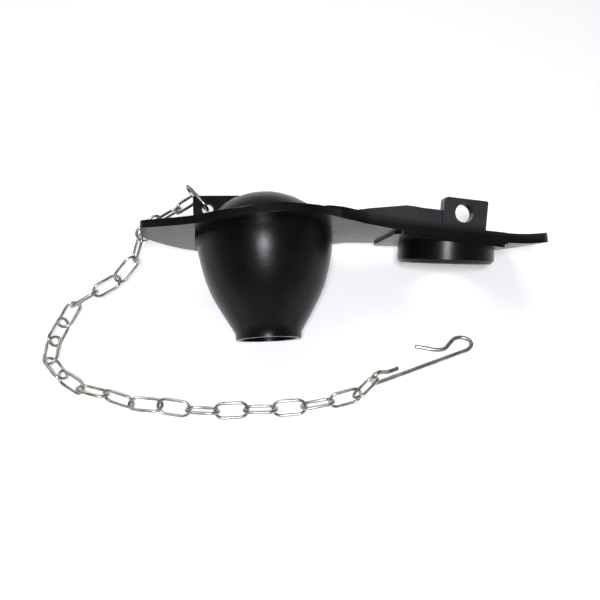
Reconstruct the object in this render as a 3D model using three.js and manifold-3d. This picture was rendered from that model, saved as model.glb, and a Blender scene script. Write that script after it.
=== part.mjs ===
// A toilet flapper with its lift chain and lever hook, lying on its side as it comes to rest.
// Millimetres, +Z up, on a surface at Z = 0. The rubber moulding is drawn flat first: x runs back
// from the bulb's axis, y across it and z up through the dome. Then its arms are bent and twisted.
import * as THREE from 'three';
import Module from 'manifold-3d';

// Seat disc and front tongue
const seatRadius = 35.6;
const seatThickness = 3.0;
const tongueReach = 47.4;
const tongueTipHalfWidth = 8.8;
const tongueTipRound = 5.0;

// How the soft seat has sagged ahead of the bulb, and where the tongue curls up again
const seatSag = 1.3;
const sagLength = 12;
const tongueCurl = { from: -43, to: -27, rise: 1.7 };
const tongueLift = 0.7;
const tongueTwist = THREE.MathUtils.degToRad(3.6);

// Bulb under the seat, as outer radii at depths below it
const bulbTopRadius = 26.3;
const bulbSideDepth = 5.6;
const bulbKneeRadius = 21.7;
const bulbKneeDepth = 22.7;
const neckTopRadius = 13.8;
const neckTopDepth = 36.8;
const rimRadius = 12.5;
const rimDepth = 41.2;
const bulbWall = 2.0;

// Dome over the seat
const domeRise = 13.0;
const domeSphereRadius = 29.8;
const domeWall = 2.2;

// Front fin, with the hole that the chain's ring goes through
const finFront = -27.4;
const finHeight = 12.2;
const finThickness = 2.2;
const finHoleX = -21.8;
const finHoleHeight = 6.8;
const finHoleRadius = 2.2;

// Arm plate, its flare out of the seat, and the tab behind it
const armHalfWidth = 20.1;
const armThickness = 4.4;
const armStart = 12;
const armEnd = 92.5;
const armCornerRound = 3;
const flareStart = 19;
const flareEnd = 38;
const flareWidth = 5.9;
const flareRound = 2;
const flareInset = 0.1;
const tabEnd = 109.4;
const tabHalfWidth = 20;
const tabThickness = 3.7;
const tabCornerRound = 5;
const tabOverlap = 10;

// Ribs along the arms and ears with their peg holes
const ribStart = 28;
const ribPeak = 51.3;
const ribHeight = 6.1;
const ribThickness = 2.0;
const ribInset = 0.3;
const earFront = 65.1;
const earLength = 17.1;
const earHeight = 11;
const earThickness = 4.5;
const earInset = 0.1;
const earCornerRound = 1.5;
const pegHoleRadius = 3.6;
const pegHoleHeight = 5.6;

// Collar for the overflow tube, under the arm plate
const collarX = 73.7;
const collarOuterRadius = 19.2;
const tubeDiameter = 28.6;
const collarDepth = 8.0;
const collarTilt = THREE.MathUtils.degToRad(4.1);
const collarLean = THREE.MathUtils.degToRad(3);
const collarChamfer = 1.3;
const padStart = 48;
const padThickness = 1.2;
const padInset = 0.8;

// How the soft arms have bent and twisted between the seat and the collar, and how the tab curls
const armBend = { from: 27, to: 41, angle: THREE.MathUtils.degToRad(7.0) };
const tabBend = { from: 90, to: 105, angle: THREE.MathUtils.degToRad(-12) };
const armTwist = { from: 27, to: 58, angle: THREE.MathUtils.degToRad(-7.8) };
const bendStep = 6;

// How the moulding leans on the surface
const leanFromSurface = THREE.MathUtils.degToRad(29.1);
const slopeToTail = THREE.MathUtils.degToRad(-6.1);
const turnOnSurface = THREE.MathUtils.degToRad(6.35);
const mouldingX = -13.8;
const mouldingY = 9.0;

// Chain links
const wireDiameter = 1.15;
const linkLength = 13.4;
const linkWidth = 7.1;
const linkGap = 0.35;
const ringClimb = THREE.MathUtils.degToRad(129);
const ringShift = 0.85;

// Lever hook
const hookWire = 1.6;
const eyeRadius = 2.4;
const hookHeading = THREE.MathUtils.degToRad(22.3);

// Mesh fineness
const roundSides = 40;
const wireSides = 8;
const bulbRows = 12;
const samePlace = 1e-4;

const wasm = await Module();
wasm.setup();

const rubber = new THREE.MeshStandardMaterial({ color: 0x1b1b1d, roughness: 0.55, metalness: 0 });
const steel = new THREE.MeshStandardMaterial({ color: 0xb5b0a8, roughness: 0.28, metalness: 1 });

// Joins a geometry's points that are nearer than a distance, and drops the triangles that closed up.
function weld(geometry, distance) {
  const { position } = geometry.attributes;
  const kept = [];
  const placeOf = [];
  for (let i = 0; i < position.count; i += 1) {
    const point = new THREE.Vector3().fromBufferAttribute(position, i);
    let place = kept.findIndex((other) => other.distanceTo(point) < distance);
    if (place < 0) {
      place = kept.length;
      kept.push(point);
    }
    placeOf.push(place);
  }
  const order = geometry.index ? Array.from(geometry.index.array) : [...placeOf.keys()];
  const triangles = [];
  for (let i = 0; i < order.length; i += 3) {
    const [a, b, c] = [placeOf[order[i]], placeOf[order[i + 1]], placeOf[order[i + 2]]];
    if (a !== b && b !== c && c !== a) {
      triangles.push(a, b, c);
    }
  }
  const points = kept.flatMap((point) => point.toArray());
  return { points: Float32Array.from(points), corners: Uint32Array.from(triangles) };
}

function signedVolume({ points, corners }) {
  const [a, b, c] = [new THREE.Vector3(), new THREE.Vector3(), new THREE.Vector3()];
  let sum = 0;
  for (let i = 0; i < corners.length; i += 3) {
    a.fromArray(points, corners[i] * 3);
    b.fromArray(points, corners[i + 1] * 3);
    c.fromArray(points, corners[i + 2] * 3);
    sum += a.dot(b.cross(c)) / 6;
  }
  return sum;
}

function solid(geometry) {
  const mesh = weld(geometry, samePlace);
  if (signedVolume(mesh) < 0) {
    mesh.corners.reverse();
  }
  return new wasm.Manifold(
    new wasm.Mesh({ numProp: 3, vertProperties: mesh.points, triVerts: mesh.corners }));
}

function geometryOf(points, corners) {
  const geometry = new THREE.BufferGeometry();
  geometry.setAttribute('position', new THREE.Float32BufferAttribute(points, 3));
  geometry.setIndex(Array.from(corners));
  geometry.computeVertexNormals();
  return geometry;
}

// The outline of a tight band around circles, each given as [x, y, radius].
function bandOutline(circles) {
  const points = [];
  for (const [x, y, radius] of circles) {
    for (let i = 0; i < roundSides; i += 1) {
      const angle = (2 * Math.PI * i) / roundSides;
      points.push(new THREE.Vector2(x + radius * Math.cos(angle), y + radius * Math.sin(angle)));
    }
  }
  points.sort((p, q) => p.x - q.x || p.y - q.y);
  const turnsRight = (p, q, r) => (q.x - p.x) * (r.y - p.y) - (q.y - p.y) * (r.x - p.x) <= 1e-6;
  const halfHull = (ordered) => {
    const hull = [];
    for (const point of ordered) {
      while (hull.length > 1 && turnsRight(hull.at(-2), hull.at(-1), point)) {
        hull.pop();
      }
      hull.push(point);
    }
    return hull.slice(0, -1);
  };
  return [...halfHull(points), ...halfHull(points.reverse())];
}

// A plate of that outline, between two heights.
function plate(circles, bottom, top) {
  const shape = new THREE.Shape(bandOutline(circles));
  const geometry = new THREE.ExtrudeGeometry(shape, { depth: top - bottom, bevelEnabled: false });
  return solid(geometry.translate(0, 0, bottom));
}

// Four circles at the corners of a plate that is as wide at each side of the middle line.
function corners(front, frontHalfWidth, back, backHalfWidth, round) {
  return [
    [front + round, frontHalfWidth - round, round],
    [front + round, round - frontHalfWidth, round],
    [back - round, backHalfWidth - round, round],
    [back - round, round - backHalfWidth, round],
  ];
}

// An upright wall with an outline in x and z, between two places across the moulding.
function wall(outline, low, high) {
  const shape = outline instanceof THREE.Shape ? outline : new THREE.Shape(outline);
  const geometry = new THREE.ExtrudeGeometry(shape, {
    depth: high - low, bevelEnabled: false, curveSegments: roundSides / 4,
  });
  return solid(geometry.rotateX(Math.PI / 2).translate(0, high, 0));
}

function turned(profile) {
  const points = profile.map(([radius, height]) => new THREE.Vector2(radius, height));
  return solid(new THREE.LatheGeometry(points, roundSides).rotateX(Math.PI / 2));
}

function crossPin(x, z, radius, length) {
  return solid(new THREE.CylinderGeometry(radius, radius, length, roundSides / 2).translate(x, 0, z));
}

// Points on the dome's sphere from its top down to a radius, for a skin that lies so deep inside.
function domeArc(depthInside, endRadius, steps) {
  const radius = domeSphereRadius - depthInside;
  const centre = seatThickness + domeRise - domeSphereRadius;
  const end = Math.asin(endRadius / radius);
  const arc = [];
  for (let i = 0; i <= steps; i += 1) {
    const angle = (end * i) / steps;
    arc.push([radius * Math.sin(angle), centre + radius * Math.cos(angle)]);
  }
  return arc;
}

// The bulb and dome are one hollow shell, open at the rim.
function shellOutside() {
  const neckRound = 1.9;
  const fullness = 0.5;
  const side = new THREE.SplineCurve([
    new THREE.Vector2(bulbTopRadius, seatThickness / 2),
    new THREE.Vector2(bulbTopRadius - 0.1, -bulbSideDepth),
    new THREE.Vector2((bulbTopRadius + bulbKneeRadius) / 2 + fullness, -(bulbSideDepth + bulbKneeDepth) / 2),
    new THREE.Vector2(bulbKneeRadius, -bulbKneeDepth),
    new THREE.Vector2((bulbKneeRadius + neckTopRadius) / 2 + fullness / 2, -(bulbKneeDepth + neckTopDepth) / 2),
    new THREE.Vector2(neckTopRadius, -neckTopDepth),
  ]);
  return turned([
    ...domeArc(0, bulbTopRadius - 1.5, 6),
    ...side.getPoints(bulbRows).map((point) => point.toArray()),
    [rimRadius + 0.2, -neckTopDepth - neckRound],
    [rimRadius, -rimDepth],
    [0, -rimDepth],
  ]);
}

function shellInside() {
  const past = 2;
  const inside = rimRadius - bulbWall;
  return turned([
    ...domeArc(domeWall, bulbTopRadius - bulbWall - 0.8, 5),
    [bulbTopRadius - bulbWall, -seatThickness],
    [bulbTopRadius - bulbWall, -bulbSideDepth - 0.5],
    [bulbKneeRadius - bulbWall, -bulbKneeDepth],
    [neckTopRadius - bulbWall, -neckTopDepth],
    [inside, -neckTopDepth - bulbWall],
    [inside, -rimDepth - past],
    [0, -rimDepth - past],
  ]);
}

const finTop = seatThickness + finHeight;
const finHoleZ = seatThickness + finHoleHeight;
const pegHoleX = earFront + earLength / 2 - 0.5;
const pegHoleZ = armThickness + pegHoleHeight;

function fin() {
  const nose = finThickness / 2;
  return plate([[finFront + nose, 0, nose], [0, 0, nose]], seatThickness / 2, finTop)
    .subtract(crossPin(finHoleX, finHoleZ, finHoleRadius, finThickness * 2));
}

// Rib and ear of one side: side is -1 or 1.
function ribAndEar(side) {
  const outer = side * (armHalfWidth - earInset);
  const inner = outer - side * earThickness;
  const ribInner = inner + side * ribInset;
  const ribOuter = ribInner + side * ribThickness;
  const sunk = armThickness / 2;
  const ribTop = armThickness + ribHeight;
  const rib = wall([
    new THREE.Vector2(ribStart, sunk),
    new THREE.Vector2(earFront + earLength / 2, sunk),
    new THREE.Vector2(earFront + earLength / 2, ribTop),
    new THREE.Vector2(ribPeak + 4, ribTop),
    new THREE.Vector2(ribPeak, ribTop - 0.2),
    new THREE.Vector2(ribStart, armThickness - 0.3),
  ], Math.min(ribInner, ribOuter), Math.max(ribInner, ribOuter));
  const back = earFront + earLength;
  const top = armThickness + earHeight;
  const outline = new THREE.Shape();
  outline.moveTo(earFront, sunk);
  outline.lineTo(back, sunk);
  outline.lineTo(back, top - earCornerRound / 2);
  outline.quadraticCurveTo(back, top, back - earCornerRound / 2, top);
  outline.lineTo(earFront + earCornerRound, top);
  outline.quadraticCurveTo(earFront, top, earFront, top - earCornerRound);
  const ear = wall(outline, Math.min(inner, outer), Math.max(inner, outer));
  return rib.add(ear);
}

// The moulding as it leaves the mould, without its collar.
function flatMoulding() {
  const tip = tongueTipHalfWidth - tongueTipRound;
  const tipX = tongueTipRound - tongueReach;
  const seat = plate(
    [[0, 0, seatRadius], [tipX, tip, tongueTipRound], [tipX, -tip, tongueTipRound]], 0, seatThickness);
  const arms = plate(corners(armStart, armHalfWidth, armEnd, armHalfWidth, armCornerRound), 0, armThickness);
  const flare = plate(
    corners(flareStart, armHalfWidth + flareWidth, flareEnd, armHalfWidth - flareInset, flareRound),
    0, armThickness);
  const tabTop = armThickness - 0.1;
  const tab = plate(
    corners(armEnd - tabOverlap, tabHalfWidth, tabEnd, tabHalfWidth, tabCornerRound),
    tabTop - tabThickness, tabTop);
  const pad = plate(
    corners(padStart, armHalfWidth - padInset, armEnd - padInset, armHalfWidth - padInset, armCornerRound),
    -padThickness, armThickness / 2);
  return seat.add(arms).add(flare).add(tab).add(pad)
    .add(shellOutside()).add(fin()).add(ribAndEar(-1)).add(ribAndEar(1))
    .subtract(shellInside())
    .subtract(crossPin(pegHoleX, pegHoleZ, pegHoleRadius, armHalfWidth * 3));
}

function share(x, { from, to }) {
  return THREE.MathUtils.clamp((x - from) / (to - from), 0, 1);
}

// Moves along an arc of that length and turn, in the moulding's x and z.
function follow(place, length, turn) {
  const middle = place.slope + turn / 2;
  const chord = Math.abs(turn) < 1e-9 ? length : (length * Math.sin(turn / 2)) / (turn / 2);
  return {
    x: place.x + chord * Math.cos(middle),
    z: place.z - chord * Math.sin(middle),
    slope: place.slope + turn,
  };
}

// Place and slope of the middle line, x millimetres behind the bulb's axis.
function middleLine(x) {
  let place = { x: 0, z: 0, slope: 0 };
  let done = 0;
  for (const bend of [armBend, tabBend]) {
    place = follow(place, Math.min(x, bend.from) - done, 0);
    done = Math.min(x, bend.from);
    place = follow(place, THREE.MathUtils.clamp(x, done, bend.to) - done, bend.angle * share(x, bend));
    done = THREE.MathUtils.clamp(x, done, bend.to);
  }
  return follow(place, x - done, 0);
}

// How far the seat's rim has sagged ahead of the bulb, less what the tongue has curled up and twisted.
function seatDrop(x, y) {
  const outside = share(Math.hypot(x, y), { from: bulbTopRadius, to: seatRadius });
  const sagged = seatSag * outside * share(-x, { from: 0, to: sagLength });
  const curled = share(-x, { from: -tongueCurl.to, to: tongueReach });
  const lifted = curled * (tongueLift - y * Math.tan(tongueTwist));
  return sagged - tongueCurl.rise * curled * curled - lifted;
}

function bendPoint(x, y, flatZ) {
  const line = middleLine(x);
  const z = flatZ - seatDrop(x, y);
  const twist = armTwist.angle * share(x, armTwist);
  const lift = z * Math.cos(twist) - y * Math.sin(twist);
  const across = z * Math.sin(twist) + y * Math.cos(twist);
  return new THREE.Vector3(
    line.x + lift * Math.sin(line.slope), across, line.z + lift * Math.cos(line.slope));
}

// The triangles of a solid's part between two cuts across x, without the faces that the cuts made.
function slice(flat, low, high) {
  const mesh = flat.trimByPlane([1, 0, 0], low).trimByPlane([-1, 0, 0], -high).getMesh();
  const triangles = [];
  for (let i = 0; i < mesh.triVerts.length; i += 3) {
    const triangle = [0, 1, 2].map(
      (k) => new THREE.Vector3().fromArray(mesh.vertProperties, mesh.triVerts[i + k] * 3));
    if (![low, high].some((cut) => triangle.every((point) => isOnCut(point, cut)))) {
      triangles.push(triangle);
    }
  }
  return triangles;
}

function isOnCut(point, cut) {
  return Math.abs(point.x - cut) < samePlace;
}

// Splits the triangles that have an edge on a cut at every point of the cut's outline on that edge.
function shareOutline(triangles, cut) {
  const outline = triangles.flat().filter((point) => isOnCut(point, cut));
  return triangles.flatMap((triangle) => {
    const first = [0, 1, 2].find((k) => isOnCut(triangle[k], cut) && isOnCut(triangle[(k + 1) % 3], cut));
    if (first === undefined) {
      return [triangle];
    }
    const [a, b, c] = [0, 1, 2].map((k) => triangle[(first + k) % 3]);
    const between = outline.filter((point) => {
      const [before, after] = [point.distanceTo(a), point.distanceTo(b)];
      return Math.min(before, after) > samePlace && before + after - a.distanceTo(b) < samePlace / 10;
    });
    between.sort((p, q) => p.distanceTo(a) - q.distanceTo(a));
    const stops = [a, ...between, b].filter(
      (point, i, all) => i === 0 || point.distanceTo(all[i - 1]) > samePlace);
    return stops.slice(1).map((stop, i) => [stops[i], stop, c]);
  });
}

// Cuts the flat moulding across where it bends, and moves the slices along the bent middle line.
function bent(flat) {
  const past = 200;
  const cuts = [-past];
  for (const { from, to } of [tongueCurl, armTwist, tabBend]) {
    const steps = Math.ceil((to - from) / bendStep);
    for (let i = 0; i <= steps; i += 1) {
      cuts.push(from + ((to - from) * i) / steps);
    }
  }
  cuts.push(past);
  let triangles = cuts.slice(1).flatMap((high, i) => slice(flat, cuts[i], high));
  for (const cut of cuts) {
    triangles = shareOutline(triangles, cut);
  }
  const points = triangles.flat().flatMap(({ x, y, z }) => bendPoint(x, y, z).toArray());
  return solid(geometryOf(points, [...Array(points.length / 3).keys()]));
}

// Frame at the collar's middle on the bent arm plate, tilted so that the collar stands level.
function collarFrame() {
  const middle = bendPoint(collarX, 0, 0);
  const back = bendPoint(collarX + 1, 0, 0).sub(middle);
  const across = bendPoint(collarX, 1, 0).sub(middle);
  const up = bendPoint(collarX, 0, 1).sub(middle);
  return new THREE.Matrix4().makeBasis(back, across, up).setPosition(middle)
    .multiply(new THREE.Matrix4().makeRotationY(-collarTilt))
    .multiply(new THREE.Matrix4().makeRotationX(collarLean));
}

function collarTurned(profile) {
  const points = profile.map(([radius, height]) => new THREE.Vector2(radius, height));
  const geometry = new THREE.LatheGeometry(points, roundSides).rotateX(Math.PI / 2);
  return solid(geometry.applyMatrix4(collarFrame()));
}

function moulding() {
  const boss = collarTurned([
    [0, armThickness / 2],
    [collarOuterRadius, armThickness / 2],
    [collarOuterRadius, collarChamfer - collarDepth],
    [collarOuterRadius - collarChamfer, -collarDepth],
    [0, -collarDepth],
  ]);
  const reach = collarDepth * 2;
  const bore = collarTurned([
    [0, reach],
    [tubeDiameter / 2, reach],
    [tubeDiameter / 2, -reach],
    [0, -reach],
  ]);
  const whole = bent(flatMoulding()).add(boss).subtract(bore).getMesh();
  return geometryOf(whole.vertProperties, whole.triVerts);
}

// A closed loop of round wire through points in the x-y plane, each with its outward direction.
function wireLoop(path, radius) {
  const points = [];
  const triangles = [];
  path.forEach(({ point, outward }, i) => {
    for (let j = 0; j < wireSides; j += 1) {
      const angle = (2 * Math.PI * (j + 0.5)) / wireSides;
      const reach = radius * Math.cos(angle);
      points.push(point.x + outward.x * reach, point.y + outward.y * reach, radius * Math.sin(angle));
      const here = i * wireSides + j;
      const beside = i * wireSides + ((j + 1) % wireSides);
      const ahead = ((i + 1) % path.length) * wireSides + j;
      const across = ((i + 1) % path.length) * wireSides + ((j + 1) % wireSides);
      triangles.push(here, ahead, across, here, across, beside);
    }
  });
  return geometryOf(points, triangles);
}

function linkGeometry() {
  const bendRadius = (linkWidth - wireDiameter) / 2;
  const straightHalf = (linkLength - linkWidth) / 2;
  const bendSteps = 5;
  const path = [];
  for (const end of [1, -1]) {
    for (let i = 0; i <= bendSteps; i += 1) {
      const angle = Math.PI * (i / bendSteps - 0.5) + (end > 0 ? 0 : Math.PI);
      const outward = new THREE.Vector2(Math.cos(angle), Math.sin(angle));
      const point = outward.clone().multiplyScalar(bendRadius);
      point.x += end * straightHalf;
      path.push({ point, outward });
    }
  }
  return wireLoop(path, wireDiameter / 2);
}

// Chosen so that the part's lowest points touch the surface.
function leaningGroup(geometry) {
  const group = new THREE.Group();
  group.rotation.set(leanFromSurface - Math.PI / 2, -slopeToTail, turnOnSurface, 'ZYX');
  group.position.set(mouldingX, mouldingY, 0);
  group.updateMatrixWorld(true);
  const lowest = new THREE.Box3().setFromBufferAttribute(
    geometry.clone().applyMatrix4(group.matrixWorld).attributes.position).min.z;
  group.position.z = -lowest;
  group.updateMatrixWorld(true);
  return group;
}

const mouldingGeometry = moulding();
const leaning = leaningGroup(mouldingGeometry);
const flapperBody = new THREE.Mesh(mouldingGeometry, rubber);
flapperBody.name = 'flapper_body';
leaning.add(flapperBody);

// The first link is the ring through the fin: its end wire runs through the middle of the hole.
const linkShape = linkGeometry();
const endWire = (linkLength - wireDiameter) / 2;
const ringAway = new THREE.Vector3(Math.cos(ringClimb), 0, Math.sin(ringClimb));
const ring = new THREE.Mesh(linkShape, steel);
ring.name = 'chain_link_01';
ring.position.set(finHoleX, ringShift, finHoleZ).addScaledVector(ringAway, endWire);
ring.quaternion.setFromRotationMatrix(new THREE.Matrix4().makeBasis(
  ringAway, new THREE.Vector3(0, 1, 0), ringAway.clone().cross(new THREE.Vector3(0, 1, 0))));
leaning.add(ring);

// The other links in turn, over the tongue's far corner and along the surface to the hook: x and y
// of the link's far joint, how many degrees the link's left side is raised, and the joint's height
// where the chain hangs. On the surface the height follows from how the links at the joint lean.
const chainRun = [
  [-49.2, 21.2, 2, 32.0],
  [-57.2, 19.5, 55, 27.3],
  [-64.0, 13.8, -58, 24.4],
  [-67.8, 9.2, 34, 15.0],
  [-74.9, 2.6, -75, 9.6],
  [-84.0, -1.1, -5, 6.6],
  [-92.7, -5.7, 55, 3.6],
  [-95.2, -13.8, 5],
  [-97.5, -22.7, -60],
  [-97.4, -31.1, 20],
  [-91.1, -38.7, -43],
  [-83.3, -43.7, 57],
  [-72.9, -46.8, -38],
  [-62.6, -50.4, 76],
  [-52.3, -51.2, -13],
  [-41.4, -52.9, 54],
  [-30.5, -53.5, -42],
  [-19.7, -52.8, 55],
  [-9.1, -52.6, -39],
  [1.6, -51.6, 57],
  [12.2, -49.5, -40],
  [22.3, -46.4, 65],
  [27.4, -40.4, -45],
];

// A link lets its neighbours be this far apart and no farther.
const pitch = linkLength - 2 * wireDiameter - linkGap;

// Height of the middle of a link that rests on the surface.
function restHeight(lean) {
  return wireDiameter / 2 + ((linkWidth - wireDiameter) / 2) * Math.abs(Math.sin(lean));
}

const leans = chainRun.map(([, , degrees]) => THREE.MathUtils.degToRad(degrees));
const besideWire = ringShift + linkWidth / 2 - wireDiameter - linkGap;
const upTheRing = endWire + 0.9;
const hangingPlace = leaning.localToWorld(
  new THREE.Vector3(finHoleX, besideWire, finHoleZ).addScaledVector(ringAway, upTheRing));
const joints = [hangingPlace];
chainRun.forEach(([x, y, , hangingHeight], i) => {
  const nextLean = leans[i + 1] ?? leans[i];
  const height = hangingHeight ?? Math.max(restHeight(leans[i]), restHeight(nextLean));
  const step = new THREE.Vector3(x, y, height).sub(joints.at(-1)).clampLength(0, pitch);
  joints.push(joints.at(-1).clone().add(step));
});

const part = new THREE.Group();
part.add(leaning);

// A link between two joints, with its left side raised by an angle.
function chainLink(number, start, end, lean) {
  const along = end.clone().sub(start).normalize();
  const left = new THREE.Vector3(-along.y, along.x, 0).normalize().applyAxisAngle(along, lean);
  const link = new THREE.Mesh(linkShape, steel);
  link.name = `chain_link_${String(number).padStart(2, '0')}`;
  link.position.copy(start).add(end).multiplyScalar(0.5);
  link.quaternion.setFromRotationMatrix(
    new THREE.Matrix4().makeBasis(along, left, along.clone().cross(left)));
  const lowest = new THREE.Box3().setFromObject(link, true).min.z;
  link.position.z += Math.max(0, -lowest);
  return link;
}

leans.forEach((lean, i) => part.add(chainLink(i + 2, joints[i], joints[i + 1], lean)));

// The hook in its own frame: x along the shank, z up, and the origin at the middle of the eye.
const eyeShift = hookWire + linkGap;
function hookGeometry() {
  const low = -eyeRadius;
  const route = [
    new THREE.Vector3(20.8, 9.3, low),
    new THREE.Vector3(24.0, 7.2, low),
    new THREE.Vector3(27.0, 5.2, low),
    new THREE.Vector3(29.2, 4.2, low),
    new THREE.Vector3(31.6, 4.0, low),
    new THREE.Vector3(34.3, 5.4, low),
    new THREE.Vector3(37.2, 6.6, low),
    new THREE.Vector3(40.2, 6.0, low),
    new THREE.Vector3(42.3, 3.7, low),
    new THREE.Vector3(41.9, 1.4, low),
    new THREE.Vector3(39.6, 0.1, low),
    new THREE.Vector3(36.0, 0, low),
    new THREE.Vector3(20.0, 0, low),
    new THREE.Vector3(4.0, 0, low),
    new THREE.Vector3(1.6, 0, low),
  ];
  const [eyeStart, eyeEnd, eyeSteps] = [-100, -330, 7];
  for (let i = 0; i <= eyeSteps; i += 1) {
    const done = i / eyeSteps;
    const angle = THREE.MathUtils.degToRad(eyeStart + (eyeEnd - eyeStart) * done);
    route.push(new THREE.Vector3(eyeRadius * Math.cos(angle), eyeShift * done, eyeRadius * Math.sin(angle)));
  }
  route.push(new THREE.Vector3(5.5, eyeShift * 1.15, -0.5 * eyeRadius));
  route.push(new THREE.Vector3(9.7, eyeShift * 1.3, 0.7 * low));
  const section = new THREE.Shape();
  section.absarc(0, 0, hookWire / 2, 0, 2 * Math.PI);
  return new THREE.ExtrudeGeometry(section, {
    steps: 52, curveSegments: wireSides / 2, extrudePath: new THREE.CatmullRomCurve3(route), bevelEnabled: false,
  });
}

// The eye's wire passes through the last link, at the last joint.
const hook = new THREE.Mesh(hookGeometry(), steel);
hook.name = 'lever_hook';
hook.geometry.computeBoundingBox();
hook.rotation.z = hookHeading;
const eyeWireInHook = new THREE.Vector3(-eyeRadius, eyeShift * 0.35, 0).applyEuler(hook.rotation);
hook.position.copy(joints.at(-1)).sub(eyeWireInHook).setZ(-hook.geometry.boundingBox.min.z);
part.add(hook);

// The origin is under the middle of everything that lies on the surface.
part.updateMatrixWorld(true);
const box = new THREE.Box3().setFromObject(part, true);
part.position.set(-(box.min.x + box.max.x) / 2, -(box.min.y + box.max.y) / 2, 0);
part.updateMatrixWorld(true);

export default part;
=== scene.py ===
import math

import bmesh
import bpy
import numpy as np
from mathutils import Matrix, Vector


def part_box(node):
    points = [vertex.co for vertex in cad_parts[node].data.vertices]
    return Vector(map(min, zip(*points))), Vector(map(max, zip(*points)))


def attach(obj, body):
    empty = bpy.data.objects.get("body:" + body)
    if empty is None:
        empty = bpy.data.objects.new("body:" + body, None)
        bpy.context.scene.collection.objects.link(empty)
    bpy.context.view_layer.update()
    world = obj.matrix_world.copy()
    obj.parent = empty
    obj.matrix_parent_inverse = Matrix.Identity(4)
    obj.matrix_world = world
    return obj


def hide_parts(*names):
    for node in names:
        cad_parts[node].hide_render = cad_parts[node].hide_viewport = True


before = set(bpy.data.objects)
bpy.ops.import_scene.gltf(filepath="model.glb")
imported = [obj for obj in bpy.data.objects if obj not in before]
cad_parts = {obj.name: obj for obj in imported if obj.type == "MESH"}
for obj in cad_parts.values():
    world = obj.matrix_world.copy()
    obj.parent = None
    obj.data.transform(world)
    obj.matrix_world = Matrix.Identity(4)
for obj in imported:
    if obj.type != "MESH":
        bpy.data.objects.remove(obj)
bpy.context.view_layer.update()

# Sizes in metres, as in the CAD model
wire_radius = 0.000575
link_length = 0.0134
link_width = 0.0071
hook_wire_radius = 0.0008
eye_radius = 0.0024
eye_shift = 0.00195
hook_heading = math.radians(22.3)

# How the meshes are made
wire_sides = 16
link_bend_steps = 12
edge_round = 0.0004
edge_round_steps = 3
edge_angle = math.radians(32)
flat_angle = math.radians(0.8)
same_place = 2e-6

# The flapper's own directions as it lies, and how far along them its arm plate and its bulb are
arm_up = (0.0755, 0.8810, 0.4670)
arm_height = 0.0341
seat_back = (0.9882, 0.1100, -0.1063)
bulb_place = -0.0128

# Where the rubber's painted sheen grows from nothing to full: above the arm plate and behind the bulb, on the
# ears and ribs that face the flash
sheen_depth = 0.004
sheen_start = 0.026
sheen_end = 0.04

# Light
floor_glow = 0.3
world_strength = 0.12

# The floor in metres: its radius, the radius of its cove and the height of its wall
floor_reach = 3.0
floor_cove = 0.4
floor_wall = 1.0
floor_sides = 96
floor_cove_steps = 8

# The picture: focal length and size in pixels, and the camera's distance and height angle over the
# place on the surface that it looks at, which is given from the flapper's lowest corner
picture_size = 600
focal_length = 718
sensor_width = 36
camera_distance = 0.3
camera_elevation = math.radians(53.5)
flapper_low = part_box("flapper_body")[0]
looked_at = Vector((flapper_low.x + 0.061425, flapper_low.y + 0.03307, 0))

link_names = sorted(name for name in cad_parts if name.startswith("chain_link"))


def make_camera():
    data = bpy.data.cameras.new("photo_camera")
    data.sensor_width = sensor_width
    data.lens = sensor_width * focal_length / picture_size
    data.clip_start = 0.01
    data.clip_end = 20
    camera = bpy.data.objects.new("photo_camera", data)
    bpy.context.scene.collection.objects.link(camera)
    back = Vector((0, -math.cos(camera_elevation), math.sin(camera_elevation)))
    camera.location = looked_at + back * camera_distance
    camera.rotation_euler = (math.pi / 2 - camera_elevation, 0, 0)
    bpy.context.scene.camera = camera


def make_softbox(name, direction, distance, size, power, color):
    """A flat lamp in a direction from the object, turned to face it."""
    data = bpy.data.lights.new(name, "AREA")
    data.shape = "RECTANGLE"
    data.size, data.size_y = size
    data.energy = power
    data.color = color
    lamp = bpy.data.objects.new(name, data)
    bpy.context.scene.collection.objects.link(lamp)
    lamp.location = looked_at + Vector(direction).normalized() * distance
    lamp.rotation_euler = (looked_at - lamp.location).to_track_quat("-Z", "Y").to_euler()


def make_world():
    world = bpy.data.worlds.new("studio")
    bpy.context.scene.world = world
    world.use_nodes = True
    background = world.node_tree.nodes["Background"]
    background.inputs["Color"].default_value = (1, 1, 1, 1)
    background.inputs["Strength"].default_value = world_strength


def make_nodes(name):
    """A new node material: returns it, its nodes, its links and its Principled shader."""
    material = bpy.data.materials.new(name)
    material.use_nodes = True
    tree = material.node_tree
    return material, tree.nodes, tree.links, tree.nodes["Principled BSDF"]


def add_noise(nodes, links, scale, detail=4, roughness=0.55):
    """Noise in the object's own metres, so that it keeps its size on every piece."""
    place = nodes.new("ShaderNodeTexCoord")
    noise = nodes.new("ShaderNodeTexNoise")
    noise.inputs["Scale"].default_value = scale
    noise.inputs["Detail"].default_value = detail
    noise.inputs["Roughness"].default_value = roughness
    links.new(place.outputs["Object"], noise.inputs["Vector"])
    return noise.outputs["Fac"]


def add_ramp(nodes, links, value, stops):
    """Colours along a value, from stops that each give a place and its colour."""
    ramp = nodes.new("ShaderNodeValToRGB")
    elements = ramp.color_ramp.elements
    while len(elements) < len(stops):
        elements.new(0.5)
    for element, (place, color) in zip(elements, stops):
        element.position = place
        element.color = (*color, 1)
    links.new(value, ramp.inputs["Fac"])
    return ramp.outputs["Color"]


def add_range(nodes, links, value, low, high):
    """Spreads a value that runs from 0 to 1 over another range."""
    spread = nodes.new("ShaderNodeMapRange")
    spread.inputs["To Min"].default_value = low
    spread.inputs["To Max"].default_value = high
    links.new(value, spread.inputs["Value"])
    return spread.outputs["Result"]


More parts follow.
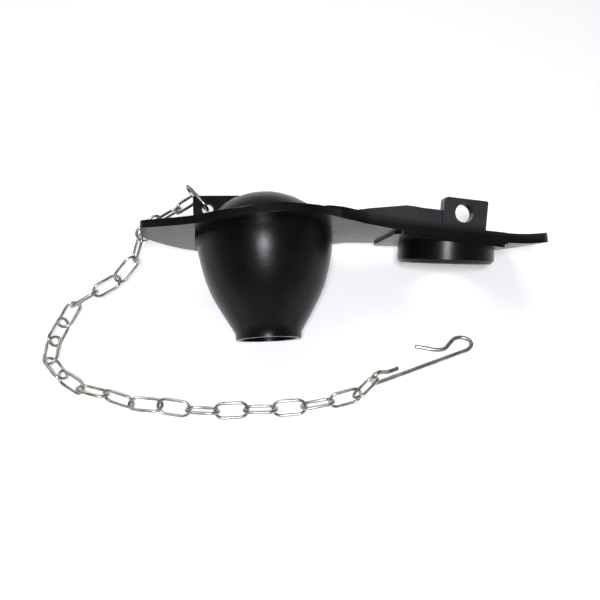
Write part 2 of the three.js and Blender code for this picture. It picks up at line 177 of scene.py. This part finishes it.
def add_reach(nodes, links, direction, start, end):
    """Grows from 0 to 1 between two places along a direction in the row frame."""
    place = nodes.new("ShaderNodeTexCoord")
    along = nodes.new("ShaderNodeVectorMath")
    along.operation = "DOT_PRODUCT"
    along.inputs[1].default_value = direction
    spread = nodes.new("ShaderNodeMapRange")
    spread.inputs["From Min"].default_value = start
    spread.inputs["From Max"].default_value = end
    links.new(place.outputs["Object"], along.inputs[0])
    links.new(along.outputs["Value"], spread.inputs["Value"])
    return spread.outputs["Result"]


def add_math(nodes, links, operation, first, second):
    math_node = nodes.new("ShaderNodeMath")
    math_node.operation = operation
    links.new(first, math_node.inputs[0])
    links.new(second, math_node.inputs[1])
    return math_node.outputs[0]


def add_mix(nodes, links, share, color):
    """A node that covers a colour with its B input, by a share from 0 to 1."""
    mix = nodes.new("ShaderNodeMix")
    mix.data_type = "RGBA"
    links.new(share, mix.inputs["Factor"])
    links.new(color, mix.inputs["A"])
    return mix


def add_bump(nodes, links, shader, height, strength, distance):
    bump = nodes.new("ShaderNodeBump")
    bump.inputs["Strength"].default_value = strength
    bump.inputs["Distance"].default_value = distance
    links.new(height, bump.inputs["Height"])
    links.new(bump.outputs["Normal"], shader.inputs["Normal"])
    return bump


def rubber_material():
    """Satin black rubber with dust, grain and soft waves, and a painted sheen above the arm plate and behind
    the bulb.
    """
    black_stops = [(0.35, (0.002, 0.002, 0.0022)), (0.7, (0.0055, 0.0053, 0.006))]
    dust_stops = [(0.62, (0, 0, 0)), (0.78, (1, 1, 1))]
    dust_color = (0.03, 0.03, 0.031, 1)
    # Painted sheen: a lighter grey that stands in for the flash's reflection on the ears and ribs
    sheen_stops = [(0.3, (0.022, 0.0215, 0.0235)), (0.7, (0.037, 0.036, 0.039))]
    material, nodes, links, shader = make_nodes("moulded_black_rubber")
    shader.inputs["Specular IOR Level"].default_value = 0.16

    cloud = add_noise(nodes, links, scale=55, detail=5)
    black = add_ramp(nodes, links, cloud, black_stops)
    specks = add_noise(nodes, links, scale=1300, detail=3, roughness=0.7)
    dusty = add_mix(nodes, links, add_ramp(nodes, links, specks, dust_stops), black)
    dusty.inputs["B"].default_value = dust_color

    # Painted sheen: the ears and ribs above the arm plate and behind the bulb face the flash, so they get a
    # lighter grey in place of its reflection
    above = add_reach(nodes, links, arm_up, arm_height, arm_height + sheen_depth)
    behind = add_reach(nodes, links, seat_back, bulb_place + sheen_start, bulb_place + sheen_end)
    sheen_share = add_math(nodes, links, "MULTIPLY", above, behind)
    painted_sheen = add_mix(nodes, links, sheen_share, dusty.outputs["Result"])
    links.new(add_ramp(nodes, links, cloud, sheen_stops), painted_sheen.inputs["B"])
    links.new(painted_sheen.outputs["Result"], shader.inputs["Base Color"])

    patches = add_noise(nodes, links, scale=120, detail=3)
    links.new(add_range(nodes, links, patches, low=0.24, high=0.34), shader.inputs["Roughness"])
    grain = add_noise(nodes, links, scale=2600, detail=2)
    waves = add_noise(nodes, links, scale=160, detail=2)
    coarse = add_bump(nodes, links, shader, waves, strength=0.12, distance=0.0006)
    fine = add_bump(nodes, links, shader, grain, strength=0.25, distance=0.00009)
    links.new(coarse.outputs["Normal"], fine.inputs["Normal"])
    return material


def steel_material():
    """Drawn stainless wire, dulled in patches by handling and water."""
    steel_stops = [(0.35, (0.25, 0.23, 0.205)), (0.65, (0.5, 0.47, 0.43))]
    material, nodes, links, shader = make_nodes("polished_steel_wire")
    shader.inputs["Metallic"].default_value = 1
    tint = add_noise(nodes, links, scale=300, detail=3)
    links.new(add_ramp(nodes, links, tint, steel_stops), shader.inputs["Base Color"])
    wear = add_noise(nodes, links, scale=900, detail=4)
    links.new(add_range(nodes, links, wear, low=0.22, high=0.38), shader.inputs["Roughness"])
    dents = add_noise(nodes, links, scale=1400, detail=2)
    add_bump(nodes, links, shader, dents, strength=0.12, distance=0.00005)
    return material


def floor_material():
    """Pale floor: it takes the object's shadow, and is near white to the camera and in reflections."""
    pale_stops = [(0.3, (0.83, 0.83, 0.83)), (0.7, (0.85, 0.85, 0.85))]
    material, nodes, links, shader = make_nodes("pale_floor")
    shader.inputs["Roughness"].default_value = 0.9
    shader.inputs["Specular IOR Level"].default_value = 0.1
    grain = add_noise(nodes, links, scale=60, detail=3)
    links.new(add_ramp(nodes, links, grain, pale_stops), shader.inputs["Base Color"])
    path = nodes.new("ShaderNodeLightPath")
    shown = path.outputs["Is Camera Ray"]
    for ray in ("Is Glossy Ray", "Is Transmission Ray"):
        shown = add_math(nodes, links, "MAXIMUM", shown, path.outputs[ray])
    shader.inputs["Emission Color"].default_value = (1, 1, 1, 1)
    glow = add_range(nodes, links, shown, low=0, high=floor_glow)
    links.new(glow, shader.inputs["Emission Strength"])
    return material


def make_floor():
    """A round floor that rises in a cove to a low wall all round, so that low views end on it too."""
    inner = floor_reach - floor_cove
    profile = [(inner, 0)]
    for i in range(1, floor_cove_steps + 1):
        angle = math.pi / 2 * i / floor_cove_steps
        profile.append((inner + floor_cove * math.sin(angle), floor_cove - floor_cove * math.cos(angle)))
    profile.append((floor_reach, floor_wall))
    made = bmesh.new()
    rings = []
    for radius, z in profile:
        ring = []
        for k in range(floor_sides):
            angle = 2 * math.pi * k / floor_sides
            ring.append(made.verts.new((radius * math.cos(angle), radius * math.sin(angle), z)))
        rings.append(ring)
    made.faces.new(rings[0])
    for low, high in zip(rings, rings[1:]):
        for k in range(floor_sides):
            beside = (k + 1) % floor_sides
            made.faces.new((low[beside], low[k], high[k], high[beside]))
    mesh = bpy.data.meshes.new("floor")
    made.to_mesh(mesh)
    made.free()
    floor = bpy.data.objects.new("floor", mesh)
    bpy.context.scene.collection.objects.link(floor)
    mesh.materials.append(floor_material())


def dress(name, mesh, material, node):
    """Makes a piece of a mesh in the row frame, and puts it in place of a CAD node."""
    mesh.materials.clear()
    mesh.materials.append(material)
    piece = bpy.data.objects.new(name, mesh)
    bpy.context.scene.collection.objects.link(piece)
    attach(piece, "root")
    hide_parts(node)
    return piece


def wire_mesh(name, path, outward, radius, closed):
    """Round wire along a path: outward is a direction square to the path at each point."""
    made = bmesh.new()
    count = len(path)
    rings = []
    for i, (point, out) in enumerate(zip(path, outward)):
        ahead = path[(i + 1) % count] if closed or i + 1 < count else point
        behind = path[i - 1] if closed or i else point
        along = (ahead - behind).normalized()
        out = (out - along * out.dot(along)).normalized()
        across = along.cross(out)
        ring = []
        for k in range(wire_sides):
            angle = 2 * math.pi * (k + 0.5) / wire_sides
            round_way = out * math.cos(angle) + across * math.sin(angle)
            ring.append(made.verts.new(point + round_way * radius))
        rings.append(ring)
    last = count if closed else count - 1
    for i in range(last):
        here = rings[i]
        there = rings[(i + 1) % count]
        for k in range(wire_sides):
            beside = (k + 1) % wire_sides
            made.faces.new((here[k], here[beside], there[beside], there[k]))
    if not closed:
        made.faces.new(list(reversed(rings[0])))
        made.faces.new(rings[-1])
    bmesh.ops.recalc_face_normals(made, faces=made.faces)
    mesh = bpy.data.meshes.new(name)
    made.to_mesh(mesh)
    made.free()
    mesh.shade_smooth()
    return mesh


def corners_of(mesh):
    """The lowest and the highest corner of the box round a mesh."""
    places = np.array([vertex.co for vertex in mesh.vertices])
    return places.min(0), places.max(0)


def keep_inside(mesh, node):
    """Moves a mesh by the hair's breadth that its rounder wire stands out of the CAD node's box."""
    mesh_low, mesh_high = corners_of(mesh)
    low, high = (np.array(corner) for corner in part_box(node))
    move = np.minimum(high - mesh_high, 0)
    move = np.where(mesh_low + move < low, low - mesh_low, move)
    mesh.transform(Matrix.Translation(Vector(move)))


def link_path():
    """The middle line of a link's wire, with its outward directions, lying in the x-y plane."""
    bend = link_width / 2 - wire_radius
    straight = (link_length - link_width) / 2
    path = []
    outward = []
    for end, turned in ((1, 0), (-1, math.pi)):
        for i in range(link_bend_steps + 1):
            angle = math.pi * (i / link_bend_steps - 0.5) + turned
            out = Vector((math.cos(angle), math.sin(angle), 0))
            path.append(out * bend + Vector((end * straight, 0, 0)))
            outward.append(out)
    return path, outward


def node_frame(name):
    """Where a CAD link lies: its middle, and its length, width and thickness as x, y and z."""
    places = np.array([vertex.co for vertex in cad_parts[name].data.vertices])
    middle = (places.max(0) + places.min(0)) / 2
    _, axes = np.linalg.eigh(np.cov((places - middle).T))
    along = Vector(axes[:, 2])
    across = Vector(axes[:, 1])
    turn = Matrix((along, across, along.cross(across))).transposed().to_4x4()
    return Matrix.Translation(Vector(middle)) @ turn


def make_links(material):
    path, outward = link_path()
    for name in link_names:
        mesh = wire_mesh(name + "_wire", path, outward, wire_radius, closed=True)
        mesh.transform(node_frame(name))
        keep_inside(mesh, name)
        dress(name + "_wire", mesh, material, name)


def smooth_route(stops, per_step):
    """A Catmull-Rom curve through the stops."""
    ends = [stops[0] * 2 - stops[1], *stops, stops[-1] * 2 - stops[-2]]
    route = []
    for a, b, c, d in zip(ends, ends[1:], ends[2:], ends[3:]):
        for i in range(per_step):
            t = i / per_step
            route.append((b * 2 + (c - a) * t + (a * 2 - b * 5 + c * 4 - d) * t ** 2
                          + (b * 3 - a - c * 3 + d) * t ** 3) / 2)
    return [*route, stops[-1]]


def make_hook(material):
    """The same stops as the CAD hook, in millimetres: x along the shank, z up, middle of the eye at 0."""
    millimetres = 1000
    low = -eye_radius * millimetres
    shift = eye_shift * millimetres
    stops = [
        (20.8, 9.3, low), (24.0, 7.2, low), (27.0, 5.2, low), (29.2, 4.2, low), (31.6, 4.0, low),
        (34.3, 5.4, low), (37.2, 6.6, low), (40.2, 6.0, low), (42.3, 3.7, low), (41.9, 1.4, low),
        (39.6, 0.1, low), (36.0, 0, low), (28.0, 0, low), (20.0, 0, low), (12.0, 0, low), (4.0, 0, low),
        (1.6, 0, low),
    ]
    eye_steps = 7
    eye_start = -100
    eye_turn = 230
    for i in range(eye_steps + 1):
        done = i / eye_steps
        angle = math.radians(eye_start - eye_turn * done)
        stops.append((-low * math.cos(angle), shift * done, -low * math.sin(angle)))
    stops += [(5.5, shift * 1.15, 0.5 * low), (9.7, shift * 1.3, 0.7 * low)]
    route = smooth_route([Vector(stop) / millimetres for stop in stops], per_step=6)

    # The first points of the route lie flat, and the eye after them stands upright
    flat_points = 100
    up = Vector((0, 0, 1))
    sideways = Vector((0, 1, 0))
    outward = [up if i < flat_points else sideways for i in range(len(route))]
    mesh = wire_mesh("lever_hook_wire", route, outward, hook_wire_radius, closed=False)
    mesh.transform(Matrix.Rotation(hook_heading, 4, "Z"))
    mesh_low, mesh_high = corners_of(mesh)
    low_corner, high_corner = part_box("lever_hook")
    mesh.transform(Matrix.Translation((low_corner + high_corner) / 2 - Vector((mesh_low + mesh_high) / 2)))
    keep_inside(mesh, "lever_hook")
    dress("lever_hook_wire", mesh, material, "lever_hook")


def make_flapper(material):
    """The CAD moulding with its flat faces made whole, its edges rounded and its curves shaded smooth."""
    made = bmesh.new()
    made.from_mesh(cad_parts["flapper_body"].data)
    bmesh.ops.remove_doubles(made, verts=made.verts, dist=same_place)
    bmesh.ops.dissolve_limit(made, angle_limit=flat_angle, verts=made.verts, edges=made.edges)
    mesh = bpy.data.meshes.new("flapper_rubber")
    made.to_mesh(mesh)
    made.free()
    mesh.shade_smooth()
    piece = dress("flapper_rubber", mesh, material, "flapper_body")
    bevel = piece.modifiers.new("edge_round", "BEVEL")
    bevel.width = edge_round
    bevel.segments = edge_round_steps
    bevel.limit_method = "ANGLE"
    bevel.angle_limit = edge_angle
    bevel.use_clamp_overlap = True
    normals = piece.modifiers.new("flat_faces_flat", "WEIGHTED_NORMAL")
    normals.keep_sharp = True


bpy.context.scene.view_settings.view_transform = "Standard"
make_camera()
make_world()
make_softbox("flash_softbox", direction=(-0.01, -0.57, 0.82), distance=0.5, size=(0.07, 0.07), power=2.2,
             color=(0.93, 0.95, 1))
make_softbox("overhead_softbox", direction=(-0.25, 0.5, 1), distance=1.1, size=(1.0, 0.8), power=6,
             color=(1, 1, 1))
make_floor()
steel = steel_material()
make_flapper(rubber_material())
make_links(steel)
make_hook(steel)
